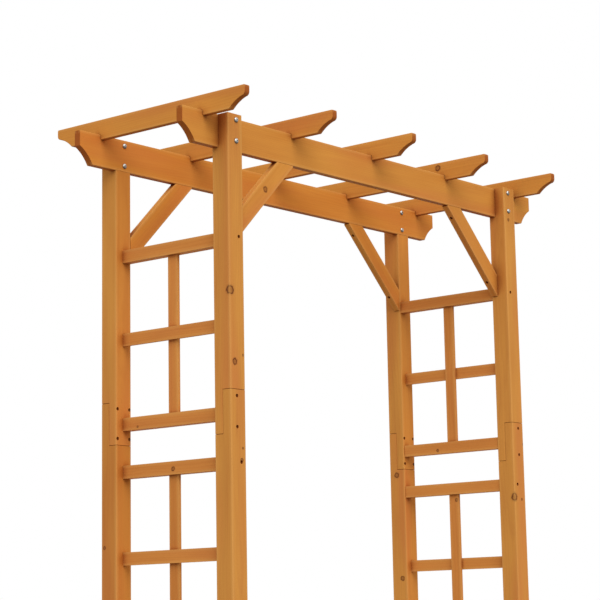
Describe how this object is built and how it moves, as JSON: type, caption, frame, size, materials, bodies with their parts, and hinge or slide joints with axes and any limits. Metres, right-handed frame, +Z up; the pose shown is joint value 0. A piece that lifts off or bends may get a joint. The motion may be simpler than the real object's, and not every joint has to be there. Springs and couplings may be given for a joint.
{
  "type": "wooden garden arbour",
  "caption": "Open walk-through garden arbour of stained softwood with cross slats, corner braces and trellis sides.",
  "frame": {"origin": "on the ground at the middle of the four feet", "axes": "+Z up, +X along the two beams, +Y along the cross slats"},
  "size_m": [1.29, 0.565, 2.04],
  "materials": {
    "post_timber": "honey-brown stained planed fir, square posts with softened arrises",
    "roof_timber": "honey-brown stained planed fir boards",
    "trellis_timber": "honey-brown stained planed fir rails and thin laths",
    "zinc_steel": "bright zinc-plated steel bolts and cap nuts",
    "screw_steel": "dull dark wood screws sunk below the surface"
  },
  "bodies": {
    "root": {"post_front_left_upper": "post_timber", "post_front_left_lower": "post_timber", "post_front_right_upper": "post_timber", "post_front_right_lower": "post_timber", "post_back_left_upper": "post_timber", "post_back_left_lower": "post_timber", "post_back_right_upper": "post_timber", "post_back_right_lower": "post_timber", "beam_front": "roof_timber", "beam_back": "roof_timber", "slat_1": "roof_timber", "slat_2": "roof_timber", "slat_3": "roof_timber", "slat_4": "roof_timber", "slat_5": "roof_timber", "brace_front_left": "roof_timber", "brace_front_right": "roof_timber", "brace_back_left": "roof_timber", "brace_back_right": "roof_timber", "rail_left_1": "trellis_timber", "rail_left_2": "trellis_timber", "rail_left_3": "trellis_timber", "rail_left_4": "trellis_timber", "rail_left_5": "trellis_timber", "rail_left_6": "trellis_timber", "rail_right_1": "trellis_timber", "rail_right_2": "trellis_timber", "rail_right_3": "trellis_timber", "rail_right_4": "trellis_timber", "rail_right_5": "trellis_timber", "rail_right_6": "trellis_timber", "lath_left_1": "trellis_timber", "lath_left_2": "trellis_timber", "lath_left_3": "trellis_timber", "lath_right_1": "trellis_timber", "lath_right_2": "trellis_timber", "lath_right_3": "trellis_timber", "stile_left_1": "trellis_timber", "stile_left_2": "trellis_timber", "stile_left_3": "trellis_timber", "stile_right_1": "trellis_timber", "stile_right_2": "trellis_timber", "stile_right_3": "trellis_timber"}
  },
  "joints": []
}
